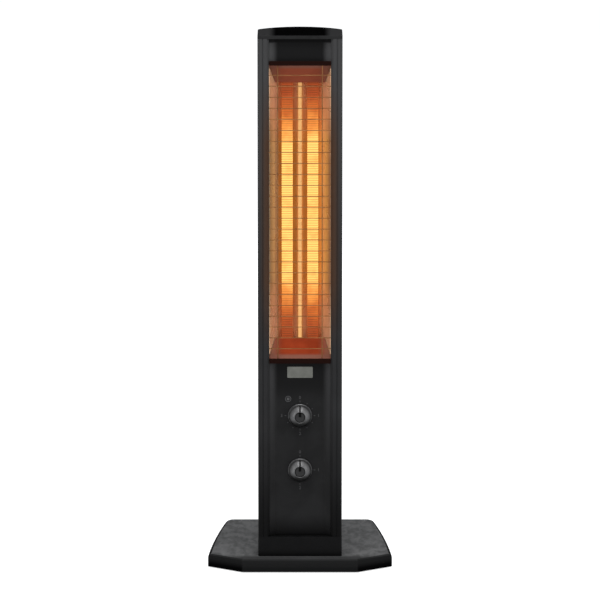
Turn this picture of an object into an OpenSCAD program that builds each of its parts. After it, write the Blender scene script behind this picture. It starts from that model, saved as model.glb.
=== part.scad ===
// Tower heater with two mica elements: an upright radiant heater on a flat base.
// X runs to the right, Y runs from the front to the back, Z runs up.
// The origin lies on the floor, under the middle of the base.

/* [Base] */
// Width of the base at its widest
base_w = 270; // [240:1:290]
// Depth of the base, front to back
base_d = 250; // [236:1:280]
// Height of the base's top above the floor
base_top = 22; // [20:1:30]
// Width of the flat middle of the base's front
base_front_w = 168; // [140:1:190]
// Width of the base's back, corner to corner
base_back_w = 222; // [200:1:232]
// How far back the slanted front corners run
base_corner_d = 35; // [20:1:50]
// How far each side of the base bulges out
base_bulge = 3; // [0:0.5:8]
// Radius round the top edge of the base
base_edge_r = 8; // [4:0.5:9]
// Wall of the moulded base cover
base_wall = 3; // [2:0.25:3.5]
// Gap between the floor and the base cover's rim
base_gap = 1.5; // [1:0.25:3]
// Thickness of the steel weight plate
plate_t = 3; // [2:0.25:4]
// Radius of a rubber foot
foot_r = 9; // [6:0.5:12]
// Length of a rubber foot, floor to plate
foot_h = 4; // [3.5:0.25:5]

/* [Tower] */
// Width of the tower over both side profiles
tower_w = 122; // [116:1:132]
// Depth of the tower's straight sides
side_d = 62; // [60:1:72]
// How far the rear arch stands out behind the sides
arch_d = 28; // [20:1:32]
// How far the tower's front stands back from the base's front
front_setback = 14; // [8:1:30]
// Height of the collar under the tower
collar_h = 29; // [26:1:40]
// Wall of the collar
collar_wall = 2.5; // [2:0.25:3]
// Floor of the collar
collar_floor = 3; // [2:0.25:4]
// Height of the side profiles
profile_h = 732; // [660:2:820]
// Height of the top cap
cap_h = 6; // [6:0.5:12]
// Wall of the top cap
cap_wall = 2.5; // [2:0.25:3]

/* [Side profiles] */
// Width of each profile's front face
face_w = 16.5; // [15:0.25:18]
// Depth of each profile's hollow front box
box_d = 31; // [27:0.5:34]
// Wall of the profiles
profile_t = 1.8; // [1.4:0.1:2]
// Radius of the profiles' outer front corner
face_r = 3.5; // [2:0.25:5]
// Distance of the face groove from the outer side
groove_in = 7.5; // [6:0.25:9]
// Width of the face groove
groove_w = 1.5; // [0.8:0.1:2]
// Width of the bevel on each face's inner edge
bevel_w = 3.25; // [2:0.25:3.5]
// Radius of the screw ports
port_r = 2; // [1.8:0.05:2.2]
// Thickness of the lips that hold the rear cover
lip_t = 1.4; // [1:0.1:1.6]

/* [Panels] */
// Height of the control panel, from the collar to the window
control_h = 263; // [250:1:280]
// Height of the panel above the window
upper_h = 37; // [30:1:45]
// Thickness of the pressed panels
panel_t = 1.2; // [1:0.1:1.4]
// How far the panels' margins stand behind the front faces
panel_in = 5; // [4:0.25:6]
// How much deeper the panels' middle fields lie
field_in = 4; // [2.5:0.25:4.5]
// Half the width of the panels' middle fields
field_half = 36.5; // [33:0.5:38]
// Thickness of the rear cover
cover_t = 1.2; // [1:0.1:1.4]
// Width of the bare trim plate
trim_w = 37; // [30:1:50]
// Height of the bare trim plate
trim_h = 16.5; // [12:0.5:22]
// Distance of the trim plate's middle below the window
trim_down = 19.5; // [18:0.5:26]

/* [Controls] */
// Distance of the thermostat knob's axis below the window
thermostat_down = 84; // [72:1:96]
// Distance between the two knobs' axes
knob_pitch = 81; // [66:1:90]
// Radius of the knobs
knob_r = 17.5; // [15:0.5:19]
// Length of the knobs
knob_l = 15; // [13:0.5:20]
// Radius of the knobs' shafts
shaft_r = 3; // [2.5:0.1:3.5]
// Number of grip flutes round a knob
flutes = 20; // [12:1:24]

/* [Heater] */
// Distance of each element from the tower's middle
element_x = 18.5; // [17.5:0.25:19.5]
// Width of the mica boards
board_w = 15; // [12:0.5:16]
// Thickness of the mica boards
board_t = 1.2; // [0.8:0.1:1.4]
// Turns of the heating ribbon on each board
ribbon_turns = 24; // [12:1:24]
// Width of the heating ribbon
ribbon_w = 3; // [2:0.25:3.5]
// Thickness of the heating ribbon
ribbon_t = 0.9; // [0.6:0.1:1]
// Thickness of the reflector sheet
reflector_t = 0.8; // [0.5:0.1:1]
// Depth of the reflector's troughs
trough_d = 20; // [16:0.5:21]
// Half the width of the ridge between the troughs
ridge_half = 2.5; // [1.5:0.25:3]
// Height of the ceramic end holders
holder_h = 14; // [12:0.5:18]
// Height of the slanted sheets that hide the elements' ends
chin_h = 29; // [24:0.5:32]

/* [Grille] */
// Distance between the grille's cross wires
wire_pitch = 16; // [12:0.5:20]
// Radius of the grille's wires
wire_r = 0.65; // [0.6:0.05:1]
// Distance of the grille's upright rods from the middle
rod_x = 32; // [26:0.5:38]

/* [Vents and inlet] */
// Number of vent slots in each group on the rear cover
vent_rows = 8; // [4:1:12]
// Distance between the rear cover's vent slots
vent_pitch = 9; // [8:0.5:12]
// Height of a vent slot on the rear cover
vent_h = 4; // [3:0.25:5]
// Length of a vent slot on the rear cover
vent_w = 64; // [40:1:76]
// Number of slots in the top cap
cap_slots = 6; // [3:1:6]
// Radius of the cord gland's bore
gland_r = 3.7; // [3:0.1:4]

/* [Hidden] */
$fn = 48;

// Small numbers that the pieces share
fit = 0.2;
run = 0.05;
cut = 1;

// Heights above the floor
plate_z = foot_h;
plate_top = plate_z + plate_t;
base_roof = base_top - base_wall;
collar_z = base_top;
profile_z = collar_z + collar_h;
profile_top = profile_z + profile_h;
window_z = profile_z + control_h;
window_top = profile_top - upper_h;
window_h = window_top - window_z;
tower_top = profile_top + cap_h;

// Plan of the tower, with depths measured back from its front
half_w = tower_w / 2;
window_half = half_w - face_w;
tower_y = front_setback - base_d / 2;
arch_r = half_w * half_w / (2 * arch_d) + arch_d / 2;
arch_c = side_d + arch_d - arch_r;
rear_d = side_d + arch_d;

// Round and mitred outlines
function unit(v) = v / norm(v);
function turn(a, b) = let (u = unit(b - a)) [-u[1], u[0]];
function mitre(a, p, b) = let (m = unit(turn(a, p) + turn(p, b))) m / (m * turn(p, b));
function wrap(a) = a > 180 ? a - 360 : a < -180 ? a + 360 : a;
function reverse(p) = [for (i = [len(p) - 1:-1:0]) p[i]];
function mirrored(p) = [for (q = reverse(p)) [-q[0], q[1]]];

// The corner p between a and b, rounded to radius r in n steps
function corner(a, p, b, r, n) = r == 0 ? [p] :
    let (
        u = unit(a - p),
        v = unit(b - p),
        half = acos(u * v) / 2,
        c = p + unit(u + v) * r / sin(half),
        s = p + u * r / tan(half) - c,
        e = p + v * r / tan(half) - c,
        a0 = atan2(s[1], s[0]),
        sweep = wrap(atan2(e[1], e[0]) - a0)
    ) [for (i = [0:n]) c + r * [cos(a0 + sweep * i / n), sin(a0 + sweep * i / n)]];

// A closed outline whose corners are [x, y, radius]
function rounded(p, n = 5) = [
    for (i = [0:len(p) - 1])
        let (
            a = p[(i + len(p) - 1) % len(p)],
            b = p[(i + 1) % len(p)]
        )
        each corner([a[0], a[1]], [p[i][0], p[i][1]], [b[0], b[1]], p[i][2], n)
];

// A closed anticlockwise outline drawn in by d
function inset(p, d) = [
    for (i = [0:len(p) - 1])
        p[i] + d * mitre(p[(i + len(p) - 1) % len(p)], p[i], p[(i + 1) % len(p)])
];

// An open path given the thickness t on its left side
function sheet(p, t) = concat(p, reverse([
    for (i = [0:len(p) - 1])
        p[i] + t * (i == 0 ? turn(p[0], p[1]) :
            i == len(p) - 1 ? turn(p[i - 1], p[i]) : mitre(p[i - 1], p[i], p[i + 1]))
]));

// Points on the rear arch, drawn in by d, from its angle a0 to its angle a1
function arch(d, a0, a1, n) = [
    for (i = [0:n])
        let (a = a0 + (a1 - a0) * i / n)
        [(arch_r - d) * sin(a), arch_c + (arch_r - d) * cos(a)]
];
arch_a = asin(half_w / arch_r);

// Outline of the base, anticlockwise from its front left corner
base_side = [
    for (i = [1:5])
        let (t = i / 6)
        [
            base_w / 2 + (base_back_w - base_w) / 2 * t + base_bulge * 4 * t * (1 - t),
            -base_d / 2 + base_corner_d + (base_d - base_corner_d) * t, 0
        ]
];
base_half = concat(
    [[base_front_w / 2, -base_d / 2, 8], [base_w / 2, -base_d / 2 + base_corner_d, 6]],
    base_side,
    [[base_back_w / 2, base_d / 2, 14]]
);
base_outline = rounded(concat(base_half, [for (q = reverse(base_half)) [-q[0], q[1], q[2]]]));

// Outline of the tower, anticlockwise from its front left corner
tower_corners = rounded([
    [-half_w, 0, face_r], [half_w, 0, face_r], [half_w, side_d, 0], [-half_w, side_d, 0]
]);
tower_outline = concat(
    [for (q = tower_corners) if (q[1] < side_d) q],
    arch(0, arch_a, -arch_a, 24)
);

module at_tower() {
    translate([0, tower_y, 0]) children();
}

module slab(outline, z0, z1) {
    translate([0, 0, z0]) linear_extrude(z1 - z0) polygon(outline);
}

// A cylinder along X, Y or Z from a point
module along_x(p, r, l) {
    translate(p) rotate([0, 90, 0]) cylinder(r = r, h = l);
}

module along_y(p, r, l) {
    translate(p) rotate([-90, 0, 0]) cylinder(r = r, h = l);
}

module along_z(p, r, l) {
    translate(p) cylinder(r = r, h = l);
}

// Places that screws, holes and bosses share
foot_places = [[-88, -103], [88, -103], [-88, 92], [88, 92]];
base_screw_places = [[-100, -70], [100, -70], [-102, 10], [102, 10], [-60, 108], [60, 108]];
tower_screw_in = 12;
tower_screw_x = 30;
tower_screw_places = [
    for (x = [-tower_screw_x, tower_screw_x], d = [tower_screw_in, side_d + 4]) [x, d]
];
port_x = half_w - 4.4;
port_places = [for (x = [-port_x, port_x], d = [tower_screw_in, side_d - 12]) [x, d]];
wire_hole = [0, side_d / 2 + 8];
wire_hole_r = 7;
tip_place = [0, 70];

// Screws
base_screw_r = 1.8;
base_screw_l = 12;
tower_screw_r = 2.5;
tower_screw_l = 32;
port_screw_r = port_r - 0.1;
port_screw_l = collar_h + 8;
head_r = 3.4;
head_h = 2.4;

module screw(p, r, l, hr, hh) {
    translate([p[0], p[1], p[2] - hh]) difference() {
        union() {
            cylinder(r = hr, h = hh);
            cylinder(r = r, h = hh + l);
        }
        translate([0, 0, -cut]) cylinder(r = r, h = cut + hh / 2, $fn = 6);
    }
}

// Base
boss_r = 4.2;
column_r = 6;
rib_t = 2;
rib_x = 38;
rib_front_y = tower_y + side_d + 4;
rib_back_y = 30;

// The base's form drawn in by d, from the height z0 to its rounded top
module base_form(d, z0) {
    steps = 5;
    r = base_edge_r - d;
    spring = base_top - base_edge_r;
    hull() {
        slab(inset(base_outline, d), z0, spring);
        for (i = [1:steps])
            let (a = 90 * i / steps)
            slab(inset(base_outline, d + r * (1 - cos(a))), spring, spring + r * sin(a));
    }
}

module base_cover() {
    color([0.16, 0.16, 0.17]) difference() {
        union() {
            difference() {
                base_form(0, base_gap);
                base_form(base_wall, base_gap - cut);
            }
            intersection() {
                base_form(base_wall / 2, plate_top);
                union() {
                    for (x = [-rib_x, rib_x])
                        translate([x - rib_t / 2, -base_d / 2, plate_top])
                            cube([rib_t, base_d, base_roof - plate_top + cut]);
                    for (y = [rib_front_y, rib_back_y])
                        translate([-base_w / 2, y - rib_t / 2, plate_top])
                            cube([base_w, rib_t, base_roof - plate_top + cut]);
                    for (p = base_screw_places)
                        along_z([p[0], p[1], plate_top], boss_r, base_roof - plate_top + cut);
                    for (p = tower_screw_places)
                        along_z([p[0], p[1] + tower_y, plate_top], column_r, base_roof - plate_top + cut);
                }
            }
        }
        for (p = base_screw_places)
            along_z([p[0], p[1], plate_top - cut], base_screw_r + run, base_screw_l - plate_t + cut);
        for (p = tower_screw_places)
            along_z([p[0], p[1] + tower_y, plate_top - cut], tower_screw_r + fit, base_top);
        along_z([wire_hole[0], wire_hole[1] + tower_y, base_roof - cut], wire_hole_r, base_wall + 2 * cut);
    }
}

module base_plate() {
    outline = inset(base_outline, base_wall + 0.4);
    color([0.55, 0.56, 0.58]) difference() {
        slab(outline, plate_z, plate_top);
        for (p = foot_places)
            along_z([p[0], p[1], plate_z - cut], stem_r + fit, plate_t + 2 * cut);
        for (p = base_screw_places)
            along_z([p[0], p[1], plate_z - cut], base_screw_r + fit, plate_t + 2 * cut);
        for (p = tower_screw_places)
            along_z([p[0], p[1] + tower_y, plate_z - cut], tower_screw_r + fit, plate_t + 2 * cut);
        along_z([tip_place[0], tip_place[1], plate_z - cut], plunger_r + plunger_gap, plate_t + 2 * cut);
    }
}

stem_r = 3;
stem_up = 2;

module rubber_feet() {
    color([0.08, 0.08, 0.08]) for (p = foot_places)
        translate([p[0], p[1], 0]) rotate_extrude() polygon([
            [0, 0], [foot_r - 1.5, 0], [foot_r - 0.6, 0.4], [foot_r, 1.4], [foot_r, foot_h],
            [stem_r, foot_h], [stem_r, plate_top + fit], [stem_r + 1, plate_top + fit],
            [stem_r - 0.6, plate_top + stem_up], [0, plate_top + stem_up]
        ]);
}

module base_screws() {
    color([0.7, 0.7, 0.72]) for (p = base_screw_places)
        screw([p[0], p[1], plate_z], base_screw_r, base_screw_l, head_r, foot_h - base_gap + 0.6);
}

module tower_screws() {
    color([0.7, 0.7, 0.72]) for (p = tower_screw_places)
        screw([p[0], p[1] + tower_y, plate_z], tower_screw_r, tower_screw_l, head_r + 0.8, head_h);
}

// Tip-over switch: the floor holds the plunger up while the heater stands
plunger_r = 4;
plunger_gap = 0.3;
plunger_travel = 4;
flange_r = 6;
flange_t = 1.2;
flange_z = plate_top + plunger_travel + fit;
tip_body_w = 24;

module tip_plunger() {
    color([0.85, 0.2, 0.15]) translate([tip_place[0], tip_place[1], 0]) rotate_extrude() polygon([
        [0, 0], [plunger_r - 1.2, 0], [plunger_r, 1.2], [plunger_r, flange_z],
        [flange_r, flange_z], [flange_r, flange_z + flange_t], [0, flange_z + flange_t]
    ]);
}

module tip_switch() {
    color([0.12, 0.12, 0.13]) difference() {
        translate([tip_place[0] - tip_body_w / 2, tip_place[1] - tip_body_w / 2, plate_top])
            cube([tip_body_w, tip_body_w, base_roof - plate_top - fit]);
        along_z([tip_place[0], tip_place[1], plate_top - cut], flange_r + 0.4,
            flange_z + flange_t + fit - plate_top + cut);
        for (s = [-1, 1])
            translate([tip_place[0] + s * tip_body_w / 2 - 2, tip_place[1] - 5, base_roof - 4])
                cube([4, 10, 6]);
    }
}

// Collar between the base and the tower
sleeve_r = 4.2;
collar_boss_r = 5;
collar_rib_h = 12;
ledge_t = 2;
gland_z = collar_z + collar_h / 2 + 0.5;
pad_half = 12;
pad_out = 1.2;
pad_d = rear_d + pad_out;
barrel_r = gland_r + 2.5;

module foot_collar() {
    inner = inset(tower_outline, collar_wall);
    color([0.09, 0.09, 0.10]) at_tower() difference() {
        union() {
            difference() {
                slab(tower_outline, collar_z, profile_z);
                slab(inner, collar_z + collar_floor, profile_z + cut);
            }
            intersection() {
                slab(inset(tower_outline, collar_wall / 2), collar_z, profile_z);
                union() {
                    for (x = [-tower_screw_x, tower_screw_x])
                        translate([x - rib_t / 2, 0, collar_z + cut])
                            cube([rib_t, rear_d, collar_rib_h]);
                    for (p = tower_screw_places)
                        along_z([p[0], p[1], collar_z + cut], collar_boss_r, collar_h - 5);
                    for (p = port_places)
                        along_z([p[0], p[1], collar_z + cut], sleeve_r, collar_h - cut);
                    translate([-window_half - 2, 0, profile_z - ledge_t])
                        cube([2 * window_half + 4, field_rear, ledge_t]);
                }
            }
            translate([-pad_half, rear_d - 6, collar_z + 3])
                cube([2 * pad_half, 6 + pad_out, collar_h - 6]);
        }
        for (p = tower_screw_places)
            along_z([p[0], p[1], collar_z - cut], tower_screw_r + run,
                plate_z + tower_screw_l - collar_z + 2 * cut);
        for (p = port_places) {
            along_z([p[0], p[1], collar_z - cut], port_screw_r + fit, collar_h + 2 * cut);
            along_z([p[0], p[1], collar_z - cut], head_r - fit, cut + head_h + 1);
        }
        along_z([wire_hole[0], wire_hole[1], collar_z - cut], wire_hole_r, collar_floor + 2 * cut);
        along_y([0, rear_d - 12, gland_z], barrel_r + 0.1, 20);
    }
}

module profile_screws() {
    color([0.7, 0.7, 0.72]) at_tower() for (p = port_places)
        screw([p[0], p[1], collar_z + head_h + 1], port_screw_r, port_screw_l, head_r - 0.4, head_h);
}

// Side profiles, drawn for the right side
port_boss_r = 3.6;
slot_d = 3;
slot_rib = 1.4;
panel_slot = panel_t + 0.6;
sheet_slot = reflector_t + 0.6;
sheet_in = panel_in + field_in + panel_t + 1.6;
cover_slot = cover_t + 2 * fit;
lip_w = 9;
lip_a = asin((half_w - lip_w) / arch_r);
lip_root_a = asin((half_w - profile_t / 2) / (arch_r - lip_t - cover_slot));
wall_a = asin((half_w - profile_t) / (arch_r - lip_t));
groove_deep = 0.8;
bevel = min(bevel_w, panel_in - slot_rib - 0.1);
bevel_in = profile_t * tan(22.5);

module slot_rib_at(d, w) {
    translate([window_half, d - slot_rib]) square([slot_d + slot_rib, w + 2 * slot_rib]);
}

module slot_at(d, w) {
    translate([window_half - cut, d]) square([slot_d + cut, w]);
}

module box_section() {
    difference() {
        polygon(rounded([
            [window_half, bevel, 0.4], [window_half + bevel, 0, 0.4],
            [half_w, 0, face_r], [half_w, box_d, 0], [window_half, box_d, 0.8]
        ]));
        polygon(rounded([
            [window_half + profile_t, bevel + bevel_in, 0.3],
            [window_half + bevel + bevel_in, profile_t, 0.3],
            [half_w - profile_t, profile_t, face_r - profile_t],
            [half_w - profile_t, box_d - profile_t, 0.6],
            [window_half + profile_t, box_d - profile_t, 0.6]
        ]));
    }
    translate([half_w - profile_t, box_d - cut]) square([profile_t, side_d - box_d + cut / 2]);
    slot_rib_at(panel_in, panel_slot);
    slot_rib_at(sheet_in, sheet_slot);
    for (p = port_places)
        if (p[0] > 0) translate(p) circle(r = port_boss_r);
}

// The outer lip runs on from the side wall, and the inner lip stands on it
module outer_lip() {
    polygon(concat(
        [[half_w, side_d - 3]],
        arch(0, arch_a, lip_a, 6),
        arch(lip_t, lip_a, wall_a, 6),
        [[half_w - profile_t, side_d - 3]]
    ));
}

module inner_lip() {
    polygon(concat(
        arch(lip_t + cover_slot, lip_a, lip_root_a, 6),
        arch(2 * lip_t + cover_slot, lip_root_a, lip_a, 6)
    ));
}

module section_cuts() {
    slot_at(panel_in, panel_slot);
    slot_at(sheet_in, sheet_slot);
    for (p = port_places)
        if (p[0] > 0) translate(p) circle(r = port_r);
    translate([half_w - groove_in - groove_w / 2, -cut]) square([groove_w, cut + groove_deep]);
}

module bar(over = 0) {
    translate([0, 0, profile_z - over]) linear_extrude(profile_h + 2 * over) children();
}

flange_screw_d = 22;
flange_screw_down = 8;
flange_screw_r = 1.5;

module right_profile() {
    color([0.11, 0.11, 0.12]) at_tower() difference() {
        union() {
            bar() box_section();
            bar() outer_lip();
            bar() inner_lip();
        }
        bar(cut) section_cuts();
        for (z = [window_z - flange_screw_down, window_top + flange_screw_down])
            along_x([window_half - cut, flange_screw_d, z], flange_screw_r + 0.1, profile_t + 2 * cut);
    }
}

module left_profile() {
    mirror([1, 0, 0]) right_profile();
}

// Rear cover: an arched sheet in the profiles' rear grooves, with two groups of vents
cover_in = lip_t + fit;
cover_a = asin((half_w - profile_t - 0.6) / (arch_r - cover_in));
vent_end = 46;

module vent_slot(z) {
    translate([-vent_w / 2 + vent_h / 2, side_d, z - vent_h / 2])
        cube([vent_w - vent_h, arch_d + cut, vent_h]);
    for (s = [-1, 1])
        along_y([s * (vent_w - vent_h) / 2, side_d, z], vent_h / 2, arch_d + cut);
}

module rear_cover() {
    color([0.10, 0.10, 0.11]) at_tower() difference() {
        slab(
            concat(
                arch(cover_in, cover_a, -cover_a, 24),
                arch(cover_in + cover_t, -cover_a, cover_a, 24)
            ),
            profile_z, profile_top
        );
        for (i = [0:vent_rows - 1]) {
            vent_slot(profile_z + vent_end + i * vent_pitch);
            vent_slot(profile_top - vent_end - i * vent_pitch);
        }
    }
}

// Top cap, with slots that let the warm air out
cap_r = 2;
cap_rib_x = 36;
cap_slot_w = 64;
cap_slot_d = 6;
cap_slot_pitch = 11;
peg_l = 10;
peg_r = port_r - 0.1;

module cap_shell() {
    steps = 4;
    hull() {
        slab(tower_outline, profile_top, tower_top - cap_r);
        for (i = [1:steps])
            let (a = 90 * i / steps)
            slab(inset(tower_outline, cap_r * (1 - cos(a))),
                tower_top - cap_r, tower_top - cap_r + cap_r * sin(a));
    }
}

module top_cap() {
    inner = inset(tower_outline, cap_wall);
    slots_d = (cap_slots - 1) * cap_slot_pitch + cap_slot_d;
    color([0.06, 0.06, 0.07]) at_tower() difference() {
        union() {
            difference() {
                cap_shell();
                slab(inner, profile_top - cut, tower_top - cap_wall);
            }
            intersection() {
                slab(inset(tower_outline, cap_wall / 2), profile_top, tower_top - cap_wall / 2);
                for (s = [-1, 1])
                    translate([s * cap_rib_x - rib_t / 2, 0, profile_top])
                        cube([rib_t, rear_d, cap_h]);
            }
            for (p = port_places) {
                along_z([p[0], p[1], profile_top - peg_l], peg_r, peg_l + cut);
                along_z([p[0], p[1], profile_top], peg_r + 1.2, cap_h - cap_wall / 2);
            }
        }
        for (i = [0:cap_slots - 1])
            translate([-cap_slot_w / 2, (rear_d - slots_d) / 2 + i * cap_slot_pitch, profile_top - cut])
                cube([cap_slot_w, cap_slot_d, cap_h + 2 * cut]);
    }
}

// Pressed panels in the profiles' front slots
margin_x = window_half + slot_d - fit;
margin_d = panel_in + fit;
field_d = margin_d + field_in;
field_rear = field_d + panel_t;
panel_path = [
    [-margin_x, margin_d], [-window_half + 0.8, margin_d], [-field_half, field_d],
    [field_half, field_d], [window_half - 0.8, margin_d], [margin_x, margin_d]
];
thermostat_z = window_z - thermostat_down;
selector_z = thermostat_z - knob_pitch;
control_places = [thermostat_z, selector_z];
bridge_screw_x = 13;
bridge_screw_r = 1.6;

module control_panel() {
    color([0.07, 0.07, 0.08]) at_tower() difference() {
        slab(sheet(panel_path, panel_t), profile_z, window_z);
        for (z = control_places) {
            along_y([0, field_d - cut, z], shaft_r + 2, panel_t + 2 * cut);
            for (s = [-1, 1])
                along_y([s * bridge_screw_x, field_d - cut, z], bridge_screw_r + 0.1, panel_t + 2 * cut);
        }
    }
}

module upper_panel() {
    color([0.07, 0.07, 0.08]) at_tower()
        slab(sheet(panel_path, panel_t), window_top, profile_top);
}

trim_t = 0.8;

module trim_plate() {
    outline = rounded([
        [-trim_w / 2, -trim_h / 2, 1.5], [trim_w / 2, -trim_h / 2, 1.5],
        [trim_w / 2, trim_h / 2, 1.5], [-trim_w / 2, trim_h / 2, 1.5]
    ]);
    color([0.62, 0.62, 0.63]) at_tower() translate([0, field_d, window_z - trim_down])
        rotate([90, 0, 0]) linear_extrude(trim_t) polygon(outline);
}

// Cord gland in the collar's rear pad
gland_flange_r = barrel_r + 2.6;
gland_flange_t = 3;
pad_wall = 6 + pad_out;
gland_nut_t = 4;

module cord_gland() {
    color([0.05, 0.05, 0.05]) at_tower() difference() {
        union() {
            along_y([0, pad_d, gland_z], gland_flange_r, gland_flange_t);
            along_y([0, pad_d + gland_flange_t, gland_z], barrel_r - 0.5, 2);
            along_y([0, pad_d - pad_wall - gland_nut_t - 1.5, gland_z], barrel_r,
                pad_wall + gland_nut_t + 1.5 + cut);
        }
        along_y([0, pad_d - 30, gland_z], gland_r, 60);
    }
}

module gland_nut() {
    color([0.10, 0.10, 0.10]) at_tower() difference() {
        translate([0, pad_d - pad_wall - gland_nut_t, gland_z]) rotate([-90, 0, 0])
            cylinder(r = barrel_r + 2.8, h = gland_nut_t, $fn = 6);
        along_y([0, pad_d - 30, gland_z], barrel_r + 0.1, 60);
    }
}

// Wiring terminal block on the collar's floor
terminal_at = [-14, 24];

module terminal_block() {
    poles = 3;
    pole_w = 10;
    color([0.85, 0.84, 0.78]) at_tower()
        translate([terminal_at[0] - pole_w / 2, terminal_at[1] - 8, collar_z + collar_floor]) difference() {
            union() {
                cube([poles * pole_w - 2, 16, 8]);
                for (i = [0:poles - 1])
                    translate([i * pole_w, 2, 0]) cube([pole_w - 2, 12, 14]);
            }
            for (i = [0:poles - 1]) {
                along_y([i * pole_w + pole_w / 2 - 1, -cut, 6], 2, 16 + 2 * cut);
                for (d = [5, 11])
                    along_z([i * pole_w + pole_w / 2 - 1, d, 9], 1.6, 6);
            }
        }
}

// Heat shield between the heater and the controls, and the cut-out on it
shield_down = 46;
shield_rear = side_d - 6;
sheet_d = sheet_in + (sheet_slot - reflector_t) / 2;
sheet_x = window_half + slot_d - fit;
inside_half = window_half - fit;

module heat_shield() {
    color([0.75, 0.75, 0.76]) at_tower() {
        difference() {
            union() {
                translate([-sheet_x, sheet_d, window_z - shield_down])
                    cube([2 * sheet_x, reflector_t, shield_down - fit]);
                translate([-inside_half, sheet_d, window_z - shield_down])
                    cube([2 * inside_half, shield_rear - sheet_d, reflector_t]);
            }
            for (s = [-1, 1], d = [34, 44])
                translate([s * 24 - 14, d, window_z - shield_down - cut]) cube([28, 4, 4]);
        }
    }
}

module thermal_cutout() {
    at = [0, sheet_d + 14, window_z - shield_down + reflector_t];
    color([0.80, 0.78, 0.70]) at_tower() translate(at) union() {
        cylinder(r = 8, h = 6);
        cylinder(r = 6, h = 10);
        for (s = [-1, 1])
            translate([s * 4 - 0.4, -3, 9]) cube([0.8, 6, 9]);
    }
}

// Thermostat and selector: each a body on a bridge, with its own shaft and knob
bore_l = 16;
shaft_in = bore_l - 0.4;
bridge_t = 1.5;

module control_body(w, h, d, tabs) {
    difference() {
        union() {
            translate([-20, field_rear, -8]) cube([40, bridge_t, 16]);
            translate([-w / 2, field_rear + bridge_t - 0.1, -h / 2]) cube([w, d, h]);
            for (i = [0:tabs - 1])
                translate([
                    (i % 2 == 0 ? -1 : 1) * w / 4 - 3, field_rear + bridge_t + d - cut,
                    -h / 3 + floor(i / 2) * h / 3
                ]) cube([6, 8 + cut, 0.8]);
        }
        along_y([0, field_rear - cut, 0], shaft_r + run, bore_l + cut);
        for (s = [-1, 1])
            along_y([s * bridge_screw_x, field_rear - cut, 0], bridge_screw_r + 0.1, 7 + cut);
    }
}

module thermostat_body() {
    color([0.30, 0.17, 0.10]) at_tower() translate([0, 0, thermostat_z]) control_body(32, 34, 22, 2);
}

module selector_body() {
    color([0.82, 0.80, 0.74]) at_tower() translate([0, 0, selector_z]) control_body(34, 30, 24, 6);
}

module switch_screws() {
    color([0.7, 0.7, 0.72]) at_tower() for (z = control_places, s = [-1, 1])
        translate([s * bridge_screw_x, field_d, z]) rotate([-90, 0, 0])
            screw([0, 0, 0], bridge_screw_r, 7, 2.8, 0.7);
}

knob_gap = 0.8;
knob_bore = 10;
recess_r = 7.5;
dome_h = 8.5;
dome_foot = [knob_r - 1, knob_l - dome_h];
dome_crown = [recess_r + 0.6, knob_l];
dome_pull = [knob_r - 3.2, knob_l - 3.6];
dome = [
    for (i = [0:6])
        let (t = i / 6)
        (1 - t) * (1 - t) * dome_foot + 2 * t * (1 - t) * dome_pull + t * t * dome_crown
];
dome_slope = atan2(dome_h, dome_foot[0] - dome_crown[0]);
recess_d = 3;
pointer_w = 1.8;

module control_shaft(z) {
    at_tower() along_y([0, field_d - knob_bore, z], shaft_r,
        knob_bore + panel_t + shaft_in);
}

module thermostat_shaft() {
    color([0.75, 0.75, 0.77]) control_shaft(thermostat_z);
}

module selector_shaft() {
    color([0.75, 0.75, 0.77]) control_shaft(selector_z);
}

// The knob's own axis is Z, pointing out of the panel
module knob_solid() {
    difference() {
        rotate_extrude() polygon(concat(
            [
                [0, knob_gap + 2.5], [knob_r - 3, knob_gap + 2.5], [knob_r - 2, knob_gap],
                [knob_r, knob_gap], [knob_r, knob_gap + 2], [knob_r - 0.6, knob_gap + 3]
            ],
            dome,
            [[recess_r, knob_l - 0.6], [recess_r, knob_l - recess_d], [0, knob_l - recess_d]]
        ));
        translate([0, 0, -cut]) cylinder(r = shaft_r + run, h = knob_bore + cut + 0.2);
        for (i = [0:flutes - 1])
            rotate([0, 0, (i + 0.5) * 360 / flutes])
                translate([knob_r - 0.6, 0, knob_gap + 3.6]) cylinder(r = 1.1, h = knob_l);
        translate([0, dome_crown[0], knob_l]) rotate([-dome_slope, 0, 0])
            translate([-pointer_w / 2, -cut, -0.2]) cube([pointer_w, knob_r, 3]);
    }
}

module at_control(z) {
    at_tower() translate([0, field_d, z]) rotate([90, 0, 0]) children();
}

module thermostat_knob() {
    color([0.78, 0.78, 0.80]) at_control(thermostat_z) knob_solid();
}

module selector_knob() {
    color([0.78, 0.78, 0.80]) at_control(selector_z) knob_solid();
}

module knob_cap() {
    translate([0, 0, knob_l - recess_d]) rotate_extrude() polygon([
        [0, 0], [recess_r - fit, 0], [recess_r - fit, recess_d - 1.2],
        [recess_r - 1, recess_d - 0.5], [0, recess_d]
    ]);
}

module thermostat_cap() {
    color([0.06, 0.06, 0.06]) at_control(thermostat_z) knob_cap();
}

module selector_cap() {
    color([0.06, 0.06, 0.06]) at_control(selector_z) knob_cap();
}

// Brackets that close the window's ends and carry the elements
bracket_t = 1.2;
bracket_rear = side_d - 6;
bracket_lip = 5;
flange_h = 14;
element_d = field_rear + 18.6;
ridge_d = element_d - 5;
grille_d = panel_in + panel_slot / 2;
chin_d = grille_d + 2.3 * wire_r + 1.1;
chin_path = [[ridge_d - 3 * fit, chin_h], [chin_d, fit + bracket_t - 0.2]];

module chin() {
    intersection() {
        rotate([90, 0, 90]) translate([0, 0, -inside_half]) linear_extrude(2 * inside_half)
            polygon(sheet(chin_path, bracket_t));
        slab(inset(concat([[-sheet_x, 0], [sheet_x, 0]], reverse(reflector_path)), 2 * fit),
            fit, chin_h + cut);
    }
}

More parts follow.
